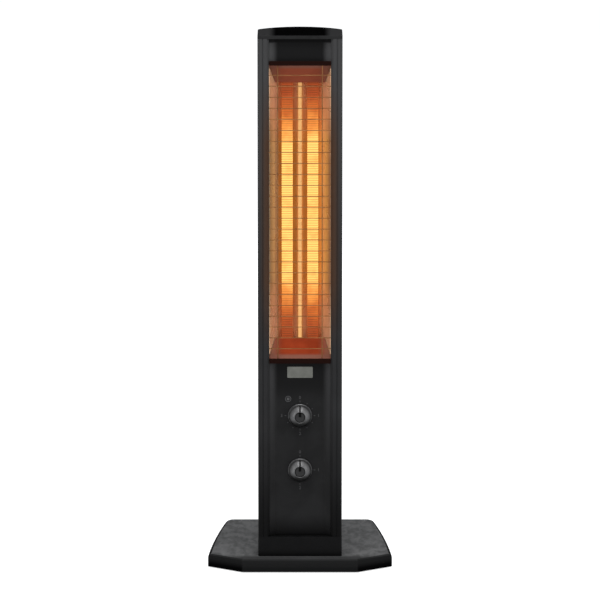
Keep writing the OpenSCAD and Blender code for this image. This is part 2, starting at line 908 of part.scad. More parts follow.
module bracket() {
    difference() {
        union() {
            chin();
            translate([-inside_half, 1, fit]) cube([2 * inside_half, bracket_rear - 1, bracket_t]);
            translate([-inside_half, 1, -bracket_lip]) cube([2 * inside_half, bracket_t, bracket_lip + cut]);
            for (s = [-1, 1])
                translate([s * (inside_half - bracket_t / 2) - bracket_t / 2, sheet_d + 3, -flange_h])
                    cube([bracket_t, 14, flange_h + cut]);
        }
        for (s = [-1, 1]) {
            along_x([s * (inside_half - bracket_t / 2) - cut, flange_screw_d, -flange_screw_down],
                flange_screw_r + 0.1, 2 * cut);
            along_z([s * element_x, element_d, -cut], bridge_screw_r, 4);
            translate([s * 20 - 14, bracket_rear - 7, -cut]) cube([28, 4, 4]);
        }
    }
}

module lower_bracket() {
    color([0.72, 0.72, 0.73]) at_tower() translate([0, 0, window_z]) bracket();
}

module upper_bracket() {
    color([0.72, 0.72, 0.73]) at_tower() translate([0, 0, window_top]) mirror([0, 0, 1]) bracket();
}

module bracket_screws() {
    color([0.7, 0.7, 0.72]) at_tower()
        for (s = [-1, 1], z = [window_z - flange_screw_down, window_top + flange_screw_down])
            translate([s * (inside_half - bracket_t), flange_screw_d, z]) rotate([0, s * 90, 0])
                screw([0, 0, 0], flange_screw_r, 6, 2.8, 1.6);
}

// Ceramic holders at both ends of the two elements
holder_w = board_w + 5;
holder_d = 8;
holder_foot = 5;
plate_face = fit + bracket_t;
holder_screw_l = bracket_t + 3.4;

module holder(s) {
    difference() {
        translate([s * element_x - holder_w / 2, element_d - holder_d / 2, plate_face])
            cube([holder_w, holder_d, holder_h]);
        translate([
            s * element_x - board_w / 2 - fit, element_d - board_t / 2 - fit, plate_face + holder_foot
        ]) cube([board_w + 2 * fit, board_t + 2 * fit, holder_h]);
        along_z([s * element_x, element_d, plate_face - cut], bridge_screw_r - 0.05, 3.8 + cut);
    }
}

module lower_holder(s) {
    color([0.90, 0.87, 0.80]) at_tower() translate([0, 0, window_z]) holder(s);
}

module upper_holder(s) {
    color([0.90, 0.87, 0.80]) at_tower() translate([0, 0, window_top]) mirror([0, 0, 1]) holder(s);
}

module left_lower_holder() {
    lower_holder(-1);
}

module left_upper_holder() {
    upper_holder(-1);
}

module right_lower_holder() {
    lower_holder(1);
}

module right_upper_holder() {
    upper_holder(1);
}

module holder_screw_pair() {
    for (s = [-1, 1])
        screw([s * element_x, element_d, fit], bridge_screw_r - 0.1, holder_screw_l, 2.6, 1.4);
}

module holder_screws() {
    color([0.7, 0.7, 0.72]) at_tower() {
        translate([0, 0, window_z]) holder_screw_pair();
        translate([0, 0, window_top]) mirror([0, 0, 1]) holder_screw_pair();
    }
}

// Mica boards and the ribbons wound on them
board_end = plate_face + holder_foot + fit;

module mica_board(s) {
    notch_r = 0.8;
    color([0.76, 0.70, 0.58]) at_tower() difference() {
        translate([s * element_x - board_w / 2, element_d - board_t / 2, window_z + board_end])
            cube([board_w, board_t, window_h - 2 * board_end]);
        for (z = [window_z + board_end + 4, window_top - board_end - 4])
            along_y([s * element_x, element_d - board_t, z], notch_r, 2 * board_t);
    }
}

module left_mica_board() {
    mica_board(-1);
}

module right_mica_board() {
    mica_board(1);
}

loop_b = board_t / 2 + 1.6;
loop_a = board_w / 2 - 1.4;
ribbon_end = plate_face + holder_h + 8;
ribbon_pitch = (window_h - 2 * ribbon_end) / ribbon_turns;
lug_gap_x = board_w / 5;

// One turn: along the front, round the right edge, climbing along the back, round the left edge
function ribbon_turn(z, p) = [
    [-loop_a, -loop_b, z, -90],
    [loop_a, -loop_b, z, -90],
    [loop_a + loop_b * cos(30), -loop_b * sin(30), z, -30],
    [loop_a + loop_b * cos(30), loop_b * sin(30), z, 30],
    [loop_a, loop_b, z, 90],
    [-loop_a, loop_b, z + p, 90],
    [-loop_a - loop_b * cos(30), loop_b * sin(30), z + p, 150],
    [-loop_a - loop_b * cos(30), -loop_b * sin(30), z + p, 210]
];
ribbon_loops = [
    for (k = [0:ribbon_turns - 1])
        each ribbon_turn(window_z + ribbon_end + k * ribbon_pitch, ribbon_pitch)
];
ribbon_last = window_top - ribbon_end;
ribbon_path = concat(
    [[-lug_gap_x, -loop_b, window_z + ribbon_end, -90]],
    [for (i = [1:len(ribbon_loops) - 1]) ribbon_loops[i]],
    [[-loop_a, -loop_b, ribbon_last, -90], [lug_gap_x, -loop_b, ribbon_last, -90]]
);

// Each ring is a flat hexagon across the ribbon
ribbon_sides = 6;
function ribbon_ring(q) = [
    for (k = [0:ribbon_sides - 1])
        let (
            f = 360 * k / ribbon_sides + 30,
            t = ribbon_t / 2 / cos(30) * cos(f),
            w = ribbon_w / 2 * sin(f)
        )
        [q[0] + t * cos(q[3]), q[1] + t * sin(q[3]), q[2] + w]
];

module ribbon(s) {
    n = len(ribbon_path);
    m = ribbon_sides;
    rings = [for (q = ribbon_path) each ribbon_ring(q)];
    walls = [
        for (i = [0:n - 2], k = [0:m - 1])
            let (a = i * m + k, b = i * m + (k + 1) % m)
            each [[a, b, b + m], [a, b + m, a + m]]
    ];
    ends = [
        for (k = [1:m - 2])
            each [[0, k + 1, k], [(n - 1) * m, (n - 1) * m + k, (n - 1) * m + k + 1]]
    ];
    color([1.0, 0.62, 0.22]) at_tower() translate([s * element_x, element_d, 0])
        polyhedron(points = rings, faces = concat(walls, ends));
}

ribbon_gap = min([
    for (i = [0:len(ribbon_path) - 4], j = [i + 3:min(i + 20, len(ribbon_path) - 1)])
        norm([
            ribbon_path[i][0] - ribbon_path[j][0],
            ribbon_path[i][1] - ribbon_path[j][1],
            ribbon_path[i][2] - ribbon_path[j][2]
        ])
]) - ribbon_w;
echo(ribbon_least_gap = ribbon_gap);

module left_ribbon() {
    ribbon(-1);
}

module right_ribbon() {
    ribbon(1);
}

lug_w = 4;
lug_h = 11.5;

module lug(s) {
    translate([
        s * element_x - lug_gap_x - lug_w, element_d - loop_b - 1, plate_face + holder_h + 0.4
    ]) cube([lug_w, loop_b + 1 - board_t / 2, lug_h]);
}

module ribbon_lugs() {
    color([0.8, 0.8, 0.78]) at_tower() for (s = [-1, 1]) {
        translate([0, 0, window_z]) lug(s);
        translate([0, 0, window_top]) mirror([0, 0, 1]) mirror([1, 0, 0]) lug(-s);
    }
}

// Reflector: two curved troughs with a ridge between them
trough_foot = field_half - 0.5;
trough_c = (ridge_half + trough_foot) / 2;
trough_half = (trough_foot - ridge_half) / 2;
trough = [
    for (i = [0:10])
        let (x = ridge_half + (trough_foot - ridge_half) * i / 10, u = (x - trough_c) / trough_half)
        [x, ridge_d + trough_d * (1 - u * u)]
];
reflector_half = concat(trough, [[window_half - 1, sheet_d], [sheet_x, sheet_d]]);
reflector_path = concat(mirrored(reflector_half), reflector_half);

module reflector() {
    color([0.88, 0.80, 0.66]) at_tower()
        slab(sheet(reflector_path, reflector_t), window_z + plate_face, window_top - plate_face);
}

// Grille: cross wires welded to upright rods
grille_z = window_z + fit;
grille_top = window_top - fit;
side_rod_x = window_half + slot_d - wire_r - 0.3;
side_rod_r = panel_slot / 2 - 0.1;
wires = floor((window_h - 10) / wire_pitch);
wire_z = window_z + (window_h - (wires - 1) * wire_pitch) / 2;

module grille() {
    color([0.20, 0.19, 0.18]) at_tower() union() {
        for (i = [0:wires - 1])
            translate([-side_rod_x, grille_d, wire_z + i * wire_pitch]) rotate([0, 90, 0])
                cylinder(r = wire_r * 0.9, h = 2 * side_rod_x, $fn = 8);
        for (s = [-1, 1]) {
            translate([s * side_rod_x, grille_d, grille_z])
                cylinder(r = side_rod_r, h = grille_top - grille_z, $fn = 8);
            translate([s * rod_x, grille_d + wire_r * 1.3, window_z + plate_face + fit])
                cylinder(r = wire_r, h = window_h - 2 * (plate_face + fit), $fn = 8);
        }
    }
}

base_cover();
base_plate();
rubber_feet();
base_screws();
tower_screws();
tip_switch();
tip_plunger();
foot_collar();
profile_screws();
left_profile();
right_profile();
rear_cover();
top_cap();
control_panel();
upper_panel();
trim_plate();
cord_gland();
gland_nut();
terminal_block();
heat_shield();
thermal_cutout();
switch_screws();
thermostat_body();
thermostat_shaft();
thermostat_knob();
thermostat_cap();
selector_body();
selector_shaft();
selector_knob();
selector_cap();
lower_bracket();
upper_bracket();
bracket_screws();
holder_screws();
left_lower_holder();
left_upper_holder();
right_lower_holder();
right_upper_holder();
left_mica_board();
right_mica_board();
left_ribbon();
right_ribbon();
ribbon_lugs();
reflector();
grille();
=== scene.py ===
"""Mica tower heater: finishes, wound elements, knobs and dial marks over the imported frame."""

import math

import bmesh
import bpy
from mathutils import Matrix, Vector


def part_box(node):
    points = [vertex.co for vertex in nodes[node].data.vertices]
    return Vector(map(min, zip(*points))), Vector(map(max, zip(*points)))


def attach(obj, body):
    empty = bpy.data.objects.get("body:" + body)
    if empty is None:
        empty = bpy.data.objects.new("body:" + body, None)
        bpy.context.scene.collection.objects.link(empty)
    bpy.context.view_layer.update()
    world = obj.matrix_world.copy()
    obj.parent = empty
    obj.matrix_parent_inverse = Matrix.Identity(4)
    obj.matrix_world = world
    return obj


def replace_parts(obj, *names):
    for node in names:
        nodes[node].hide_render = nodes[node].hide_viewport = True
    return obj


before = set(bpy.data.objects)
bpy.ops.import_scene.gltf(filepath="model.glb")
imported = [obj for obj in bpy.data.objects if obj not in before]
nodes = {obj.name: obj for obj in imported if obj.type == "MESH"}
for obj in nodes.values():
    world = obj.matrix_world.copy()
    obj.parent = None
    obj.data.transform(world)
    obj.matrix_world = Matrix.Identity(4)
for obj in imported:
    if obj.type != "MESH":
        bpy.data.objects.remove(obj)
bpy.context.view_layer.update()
scene = bpy.context.scene
scene.view_settings.view_transform = "Standard"


def middle(node, axis):
    """The middle of a solid's box along one axis, in metres."""
    low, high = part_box(node)
    return (low[axis] + high[axis]) / 2


# Node helpers


def place(tree, kind, sockets=None, **settings):
    """Puts a node in a tree; each socket gets a plain value or a link."""
    made = tree.nodes.new(kind)
    for key, value in settings.items():
        setattr(made, key, value)
    for key, value in (sockets or {}).items():
        if isinstance(value, bpy.types.NodeSocket):
            tree.links.new(value, made.inputs[key])
        else:
            made.inputs[key].default_value = value
    return made


def maths(tree, operation, *values, clamp=False):
    """One step of arithmetic."""
    return place(tree, "ShaderNodeMath", dict(enumerate(values)), operation=operation,
                 use_clamp=clamp).outputs[0]


def ramp(tree, value, start, end, low=0.0, high=1.0, smooth=False):
    """Goes from low to high as a value goes from start to end, and stays there beyond."""
    return place(tree, "ShaderNodeMapRange",
                 {"Value": value, "From Min": start, "From Max": end, "To Min": low, "To Max": high},
                 interpolation_type="SMOOTHSTEP" if smooth else "LINEAR").outputs[0]


def noise(tree, vector, scale, detail, roughness=0.5, distortion=0.0):
    """Soft noise about a middle grey."""
    return place(tree, "ShaderNodeTexNoise",
                 {"Vector": vector, "Scale": scale, "Detail": detail, "Roughness": roughness,
                  "Distortion": distortion}).outputs[0]


def multiply_vectors(tree, first, second):
    """Two vectors multiplied part by part."""
    return place(tree, "ShaderNodeVectorMath", {0: first, 1: second},
                 operation="MULTIPLY").outputs[0]


def part_of(tree, vector, axis):
    """The X, Y or Z of a vector."""
    return place(tree, "ShaderNodeSeparateXYZ", {0: vector}).outputs[axis]


def blend_colours(tree, share, first, second):
    """The first colour where the share is 0, the second where it is 1."""
    return place(tree, "ShaderNodeMix", {"Factor": share, 6: first, 7: second},
                 data_type="RGBA").outputs[2]


# Mesh helpers

MERGE = 1e-6
SHARP_FROM = math.radians(35)


def finish_piece(name, bm, flat=False):
    """Makes a bmesh an object with outward faces, shaded smooth except at sharp edges."""
    bmesh.ops.remove_doubles(bm, verts=bm.verts, dist=MERGE)
    bmesh.ops.recalc_face_normals(bm, faces=bm.faces)
    mesh = bpy.data.meshes.new(name)
    bm.to_mesh(mesh)
    bm.free()
    if not flat:
        mesh.shade_smooth()
        mesh.set_sharp_from_angle(angle=SHARP_FROM)
    made = bpy.data.objects.new(name, mesh)
    scene.collection.objects.link(made)
    return made


def moved(bm, verts, by):
    """Moves points by a vector."""
    bmesh.ops.translate(bm, verts=verts, vec=by)


def drawn_out(bm, edges, by):
    """Draws a row of edges out by a vector; returns the new row's points and edges."""
    out = bmesh.ops.extrude_edge_only(bm, edges=edges)["geom"]
    points = [g for g in out if isinstance(g, bmesh.types.BMVert)]
    moved(bm, points, by)
    return points, [g for g in out if isinstance(g, bmesh.types.BMEdge)]


def turned(rings, segments):
    """A closed turned solid about Z from (radius, height) rings."""
    bm = bmesh.new()
    radius, height = rings[0]
    row = bmesh.ops.create_circle(bm, segments=segments, radius=radius)["verts"]
    moved(bm, row, (0, 0, height))
    edges = list(bm.edges)
    for (radius_before, height_before), (radius, height) in zip(rings, rings[1:]):
        row, edges = drawn_out(bm, edges, (0, 0, 0))
        grow = radius / radius_before
        bmesh.ops.scale(bm, vec=(grow, grow, 1), verts=row)
        moved(bm, row, (0, 0, height - height_before))
    bmesh.ops.holes_fill(bm, edges=bm.edges)
    return bm


def bar(size, at, turn=0.0, soft=0.0):
    """A block turned about Y, with softened edges where soft is given."""
    bm = bmesh.new()
    bmesh.ops.create_cube(bm, size=1.0)
    bmesh.ops.scale(bm, vec=size, verts=bm.verts)
    if soft:
        bmesh.ops.bevel(bm, geom=bm.edges, offset=soft, segments=2, profile=0.5,
                        affect="EDGES", material=-1)
    moved(bm, bm.verts, at)
    bmesh.ops.rotate(bm, cent=(0, 0, 0), matrix=Matrix.Rotation(turn, 3, "Y"), verts=bm.verts)
    return bm


def gather(name, parts, flat=False):
    """One piece from several (bmesh, matrix) pairs."""
    whole = bmesh.new()
    for part, spot in parts:
        mesh = bpy.data.meshes.new("part")
        bmesh.ops.transform(part, matrix=spot, verts=part.verts)
        part.to_mesh(mesh)
        part.free()
        whole.from_mesh(mesh)
        bpy.data.meshes.remove(mesh)
    return finish_piece(name, whole, flat)


def paint(piece, material):
    """One material on every slot of a piece."""
    if not piece.material_slots:
        piece.data.materials.append(material)
    for spot in piece.material_slots:
        spot.material = material


# Camera, lamps and stage, set as the photograph shows the heater

IMAGE_SIZE = 600
FOCAL_PIXELS = 4858.3
SENSOR = 36.0
CAMERA_AWAY = 7.0
CAMERA_HIGH = 1.7472
CAMERA_PITCH = 0.1927

WHITE = (1.0, 1.0, 1.0, 1.0)
ROOM_COLOUR = (0.93, 0.96, 1.0, 1.0)
ROOM_LIGHT = 0.42
FLOOR_REACH = 40.0
FLOOR_COLOUR = (0.80, 0.80, 0.80, 1.0)
FLOOR_LIFT = 0.70

# Name, width and height, watts, place and aim of each lamp
SOFTBOXES = [
    ("overhead_softbox", (1.6, 1.2), 42.0, (0.0, -1.1, 2.6), (0.0, -0.05, 0.35)),
    ("left_softbox", (0.7, 1.8), 12.0, (-2.2, -1.6, 1.0), (0.0, 0.0, 0.4)),
    ("right_softbox", (0.7, 1.8), 16.0, (2.2, -1.4, 1.1), (0.0, 0.0, 0.4)),
    ("rear_softbox", (1.4, 1.4), 16.0, (0.4, 2.4, 1.8), (0.0, 0.0, 0.4)),
]


def make_camera():
    """A long lens far in front of the heater, looking down at it."""
    data = bpy.data.cameras.new("front_view")
    data.sensor_width = SENSOR
    data.lens = FOCAL_PIXELS / IMAGE_SIZE * SENSOR
    camera = bpy.data.objects.new("front_view", data)
    camera.location = (0.0, -CAMERA_AWAY, CAMERA_HIGH)
    camera.rotation_euler = (math.pi / 2 - CAMERA_PITCH, 0.0, 0.0)
    scene.collection.objects.link(camera)
    scene.camera = camera


def seen_directly(tree):
    """1 for rays from the camera, or by way of metal and glass."""
    path = place(tree, "ShaderNodeLightPath").outputs
    shiny = maths(tree, "MAXIMUM", path["Is Glossy Ray"], path["Is Transmission Ray"])
    return maths(tree, "MAXIMUM", path["Is Camera Ray"], shiny)


def make_world():
    """A dim room that looks white."""
    world = bpy.data.worlds.new("pale_room")
    world.use_nodes = True
    tree = world.node_tree
    tree.nodes.clear()
    dim = place(tree, "ShaderNodeBackground", {"Color": ROOM_COLOUR, "Strength": ROOM_LIGHT})
    white = place(tree, "ShaderNodeBackground", {"Color": WHITE, "Strength": 1.0})
    mixed = place(tree, "ShaderNodeMixShader",
                  {0: seen_directly(tree), 1: dim.outputs[0], 2: white.outputs[0]})
    place(tree, "ShaderNodeOutputWorld", {"Surface": mixed.outputs[0]})
    scene.world = world


def make_lamp(name, size, watts, at, aim):
    """A white area lamp aimed at a point."""
    data = bpy.data.lights.new(name, "AREA")
    data.shape = "RECTANGLE"
    data.size, data.size_y = size
    data.energy = watts
    lamp = bpy.data.objects.new(name, data)
    lamp.location = at
    lamp.rotation_euler = (Vector(aim) - Vector(at)).to_track_quat("-Z", "Y").to_euler()
    scene.collection.objects.link(lamp)


def make_floor():
    """A pale floor that the camera sees as white, apart from shadows."""
    bm = bmesh.new()
    bmesh.ops.create_grid(bm, x_segments=2, y_segments=2, size=FLOOR_REACH)
    floor = finish_piece("floor", bm)
    material = bpy.data.materials.new("pale_floor")
    material.use_nodes = True
    tree = material.node_tree
    tree.nodes.clear()
    matt = place(tree, "ShaderNodeBsdfDiffuse", {"Color": FLOOR_COLOUR})
    lift = place(tree, "ShaderNodeEmission", {"Color": WHITE, "Strength": FLOOR_LIFT})
    both = place(tree, "ShaderNodeAddShader", {0: matt.outputs[0], 1: lift.outputs[0]})
    mixed = place(tree, "ShaderNodeMixShader",
                  {0: seen_directly(tree), 1: matt.outputs[0], 2: both.outputs[0]})
    place(tree, "ShaderNodeOutputMaterial", {"Surface": mixed.outputs[0]})
    floor.data.materials.append(material)


# Shared effects


def effect(name, inputs, outputs):
    """A new node group: its tree, what it is given and what it has to put out."""
    tree = bpy.data.node_groups.new(name, "ShaderNodeTree")
    for label, kind, value in inputs:
        socket = tree.interface.new_socket(label, in_out="INPUT", socket_type=kind)
        socket.default_value = value
    for label, kind in outputs:
        tree.interface.new_socket(label, in_out="OUTPUT", socket_type=kind)
    source = tree.nodes.new("NodeGroupInput")
    sink = tree.nodes.new("NodeGroupOutput")
    return tree, source.outputs, sink.inputs


def soft_edges_effect():
    """The normal rounded over each edge, and a mask of the edges."""
    tree, given, out = effect(
        "soft_edges", [("Radius", "NodeSocketFloat", 0.0004)],
        [("Normal", "NodeSocketVector"), ("Edge", "NodeSocketFloat")],
    )
    bevel = place(tree, "ShaderNodeBevel", {"Radius": given["Radius"]}, samples=4)
    plain = place(tree, "ShaderNodeNewGeometry")
    dot = place(tree, "ShaderNodeVectorMath",
                {0: bevel.outputs[0], 1: plain.outputs["Normal"]}, operation="DOT_PRODUCT")
    tree.links.new(bevel.outputs[0], out["Normal"])
    tree.links.new(ramp(tree, dot.outputs["Value"], 0.99, 0.80), out["Edge"])
    return tree


def patches_effect():
    """Broad uneven areas, such as handling marks and uneven paint, from 0 to 1."""
    tree, given, out = effect(
        "patches",
        [("Vector", "NodeSocketVector", (0, 0, 0)), ("Scale", "NodeSocketFloat", 30.0)],
        [("Mask", "NodeSocketFloat")],
    )
    broad = noise(tree, given["Vector"], given["Scale"], 4.0, roughness=0.55, distortion=0.4)
    tree.links.new(ramp(tree, broad, 0.3, 0.7, smooth=True), out["Mask"])
    return tree


def grain_effect():
    """Fine moulded or sprayed texture: rounded pebbles broken by noise."""
    tree, given, out = effect(
        "grain",
        [("Vector", "NodeSocketVector", (0, 0, 0)), ("Scale", "NodeSocketFloat", 1200.0),
         ("Pebble", "NodeSocketFloat", 0.5)],
        [("Height", "NodeSocketFloat")],
    )
    cells = place(tree, "ShaderNodeTexVoronoi",
                  {"Vector": given["Vector"], "Scale": given["Scale"]}, feature="SMOOTH_F1")
    fine = noise(tree, given["Vector"], given["Scale"], 2.0)
    height = place(tree, "ShaderNodeMix",
                   {"Factor": given["Pebble"], "A": fine, "B": cells.outputs["Distance"]})
    tree.links.new(height.outputs[0], out["Height"])
    return tree


def streaks_effect():
    """Drawn or brushed lines along one axis; Stretch squeezes the pattern across it."""
    tree, given, out = effect(
        "streaks",
        [("Vector", "NodeSocketVector", (0, 0, 0)),
         ("Stretch", "NodeSocketVector", (2500.0, 2500.0, 12.0))],
        [("Height", "NodeSocketFloat")],
    )
    squeezed = multiply_vectors(tree, given["Vector"], given["Stretch"])
    tree.links.new(noise(tree, squeezed, 1.0, 3.0, roughness=0.6), out["Height"])
    return tree


def dust_effect():
    """A thin uneven film of dust on faces that look up."""
    tree, given, out = effect(
        "settled_dust",
        [("Vector", "NodeSocketVector", (0, 0, 0)), ("Amount", "NodeSocketFloat", 0.2)],
        [("Mask", "NodeSocketFloat")],
    )
    geometry = place(tree, "ShaderNodeNewGeometry")
    up = ramp(tree, part_of(tree, geometry.outputs["Normal"], "Z"), 0.5, 0.95)
    specks = noise(tree, given["Vector"], 420.0, 5.0, roughness=0.7)
    clouds = noise(tree, given["Vector"], 26.0, 3.0)
    uneven = maths(tree, "MULTIPLY", specks, clouds)
    film = ramp(tree, uneven, 0.15, 0.4, high=given["Amount"])
    tree.links.new(maths(tree, "MULTIPLY", up, film), out["Mask"])
    return tree


# Where the elements are wound: heat starts just beyond both ends and is full further in
RIBBON_LOW, RIBBON_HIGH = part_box("left_ribbon")
WINDING_LOW, WINDING_HIGH = RIBBON_LOW[2], RIBBON_HIGH[2]
COOL_LENGTH = 0.095
COOL_BEYOND = 0.004


def heat_effect():
    """How hot an element is along its height, from 0 at its ends to 1, a little uneven."""
    tree, given, out = effect(
        "element_heat",
        [("Vector", "NodeSocketVector", (0, 0, 0)), ("Uneven", "NodeSocketFloat", 0.25)],
        [("Heat", "NodeSocketFloat")],
    )
    centre = (WINDING_LOW + WINDING_HIGH) / 2
    half = (WINDING_HIGH - WINDING_LOW) / 2
    off = maths(tree, "SUBTRACT", part_of(tree, given["Vector"], "Z"), centre)
    warm = ramp(tree, maths(tree, "ABSOLUTE", off), half + COOL_BEYOND, half - COOL_LENGTH)
    swing = maths(tree, "SUBTRACT", noise(tree, given["Vector"], 55.0, 2.0), 0.5)
    shift = maths(tree, "MULTIPLY", swing, given["Uneven"])
    tree.links.new(maths(tree, "ADD", warm, shift, clamp=True), out["Heat"])
    return tree


soft_edges = soft_edges_effect()
patches = patches_effect()
grain = grain_effect()
streaks = streaks_effect()
dust = dust_effect()
element_heat = heat_effect()


def use(tree, group, sockets):
    """The outputs of a shared effect, placed in a material with its own values."""
    return place(tree, "ShaderNodeGroup", sockets, node_tree=group).outputs


# Finishes


class Finish:
    """One material: a Principled shader whose colour, roughness and normal are built in steps."""

    def __init__(self, name, colour, rough, metal=0.0, specular=0.5, edge=0.0004):
        self.material = bpy.data.materials.new(name)
        self.material.use_nodes = True
        self.tree = self.material.node_tree
        self.shader = self.tree.nodes["Principled BSDF"]
        self.shader.inputs["Metallic"].default_value = metal
        self.shader.inputs["Specular IOR Level"].default_value = specular
        self.at = place(self.tree, "ShaderNodeTexCoord").outputs["Object"]
        rounded = use(self.tree, soft_edges, {"Radius": edge})
        self.edge, self.normal = rounded["Edge"], rounded["Normal"]
        self.colour, self.rough = (*colour, 1.0), rough

    def blend(self, share, colour):
        """Another colour over what is there, by a share from 0 to 1."""
        self.colour = blend_colours(self.tree, share, self.colour, (*colour, 1.0))
        return self

    def vary(self, colour, spread, scale=30.0, squeeze=(1.0, 1.0, 1.0)):
        """Broad patches towards another colour, rougher and smoother by a spread."""
        at = multiply_vectors(self.tree, self.at, squeeze)
        mask = use(self.tree, patches, {"Vector": at, "Scale": scale})["Mask"]
        self.rough = ramp(self.tree, mask, 0.0, 1.0, self.rough - spread, self.rough + spread)
        return self.blend(mask, colour)

    def bump(self, height, depth, strength):
        """A height worked into the normal."""
        self.normal = place(self.tree, "ShaderNodeBump",
                            {"Height": height, "Distance": depth, "Strength": strength,
                             "Normal": self.normal}).outputs[0]
        return self

    def grained(self, scale, depth, pebble=0.5, strength=1.0):
        """Moulded or sprayed texture."""
        height = use(self.tree, grain, {"Vector": self.at, "Scale": scale, "Pebble": pebble})
        return self.bump(height["Height"], depth, strength)

    def drawn(self, stretch, depth, strength=1.0):
        """Drawn or brushed lines."""
        height = use(self.tree, streaks, {"Vector": self.at, "Stretch": stretch})
        return self.bump(height["Height"], depth, strength)

    def worn(self, colour, amount):
        """Edges rubbed to another colour."""
        return self.blend(maths(self.tree, "MULTIPLY", self.edge, amount), colour)

    def dusty(self, amount, colour=(0.32, 0.31, 0.30)):
        """Dust on what looks up."""
        mask = use(self.tree, dust, {"Vector": self.at, "Amount": amount})["Mask"]
        return self.blend(mask, colour)

    def heat(self, uneven):
        """How hot the elements are at this height."""
        return use(self.tree, element_heat, {"Vector": self.at, "Uneven": uneven})["Heat"]

    def towards(self, part, start, end, colour, both, hot, rise):
        """A colour that comes in as one part of a vector goes from start to end."""
        if both:
            part = maths(self.tree, "ABSOLUTE", part)
        share = ramp(self.tree, part, start, end, smooth=True)
        if hot:
            share = maths(self.tree, "MULTIPLY", share, self.heat(0.0))
        if rise:
            height = part_of(self.tree, self.at, "Z")
            share = maths(self.tree, "MULTIPLY", share, ramp(self.tree, height, *rise))
        return self.blend(share, colour)

    def along(self, axis, start, end, colour, both=False, hot=False, rise=None):
        """A colour that comes in along an axis, on both sides of it, beside the hot part of the
        elements, or over a rise in height."""
        return self.towards(part_of(self.tree, self.at, axis), start, end, colour, both, hot, rise)

    def facing(self, axis, start, end, colour, both=False, rise=None):
        """A colour that comes in as the surface turns."""
        normal = place(self.tree, "ShaderNodeNewGeometry").outputs["Normal"]
        return self.towards(part_of(self.tree, normal, axis), start, end, colour, both, False, rise)

    def cool_ends(self, colour):
        """Another colour where the elements are cool, towards both ends of the window."""
        self.colour = blend_colours(self.tree, self.heat(0.3), (*colour, 1.0), self.colour)
        return self

    def glow(self, colours, strength, uneven):
        """Light given off, from (heat, colour) stops."""
        lit = place(self.tree, "ShaderNodeValToRGB", {"Fac": self.heat(uneven)})
        stops = lit.color_ramp.elements
        while len(stops) < len(colours):
            stops.new(0.5)
        for stop, (spot, colour) in zip(stops, colours):
            stop.position, stop.color = spot, (*colour, 1.0)
        self.tree.links.new(lit.outputs[0], self.shader.inputs["Emission Color"])
        self.shader.inputs["Emission Strength"].default_value = strength
        return self

    def done(self):
        """Links what was built up to the shader."""
        for key, value in (("Base Color", self.colour), ("Roughness", self.rough),
                           ("Normal", self.normal)):
            if isinstance(value, bpy.types.NodeSocket):
                self.tree.links.new(value, self.shader.inputs[key])
            else:
                self.shader.inputs[key].default_value = value
        return self.material


# Stretch of drawn lines that run up the tower, across it, and of turned rings round a shaft
UP = (2600.0, 2600.0, 9.0)
ACROSS = (9.0, 2600.0, 2600.0)
ROUND = (300.0, 9000.0, 300.0)

# Foot: textured charcoal plastic, mottled; painted shade towards the front edge of the top, where
# faces turn away from up and on the sloping corners, and painted shadow low down, darkest on the
# corners
base_moulding = (Finish("base_moulding", (0.079, 0.079, 0.0794), rough=0.60, specular=0.0)
                 .vary((0.131, 0.131, 0.1315), spread=0.08, scale=66.0, squeeze=(1.5, 0.7, 1.0))
                 .along("Y", -0.100, -0.119, (0.036, 0.036, 0.0363))
                 .facing("Z", 0.97, 0.50, (0.0145, 0.0145, 0.0147))
                 .facing("X", 0.2, 0.5, (0.012, 0.012, 0.0121), both=True)
                 .along("Z", 0.012, 0.004, (0.0095, 0.0095, 0.0096))
                 .facing("X", 0.2, 0.5, (0.002, 0.002, 0.0021), both=True, rise=(0.014, 0.006))
                 .grained(1300.0, depth=0.00016, pebble=0.6, strength=0.6)
                 .dusty(0.04).done())

# Collar: black plastic, with painted shade darkest where it meets the foot
collar_moulding = (Finish("collar_moulding", (0.0035, 0.0035, 0.0037), rough=0.50, specular=0.05)
                   .vary((0.005, 0.005, 0.0053), spread=0.06, scale=60.0)
                   .grained(1900.0, depth=0.00006, strength=0.4)
                   .along("Z", 0.034, 0.023, (0.0008, 0.0008, 0.0008))
                   .done())

# Top cap: matt black plastic, with painted shade making it near black on top and painted light
# towards both sides
CAP_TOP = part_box("top_cap")[1][2]
cap_moulding = (Finish("cap_moulding", (0.017, 0.017, 0.0173), rough=0.80, specular=0.0)
                .vary((0.022, 0.022, 0.0224), spread=0.06, scale=50.0)
                .grained(1900.0, depth=0.00008, strength=0.5)
                .along("Z", CAP_TOP - 0.0016, CAP_TOP - 0.0004, (0.0012, 0.0012, 0.0013))
                .along("X", 0.034, 0.046, (0.024, 0.024, 0.0243), both=True)
                .done())

# Profiles: satin black coat, with painted light up the window, painted shade towards the foot and
# painted glow light beside the window
profile_coat = (Finish("profile_coat", (0.022, 0.022, 0.0228), rough=0.45, specular=0.04,
                       edge=0.0006)
                .vary((0.027, 0.027, 0.028), spread=0.05, scale=18.0)
                .along("Z", 0.36, 0.74, (0.047, 0.047, 0.048))
                .along("Z", 0.26, 0.04, (0.0030, 0.0030, 0.0031))
                .along("X", 0.060, 0.047, (0.060, 0.033, 0.021), both=True, hot=True)
                .drawn(UP, depth=0.00002, strength=0.35)
                .grained(2600.0, depth=0.00003, pebble=0.2, strength=0.3)
                .done())
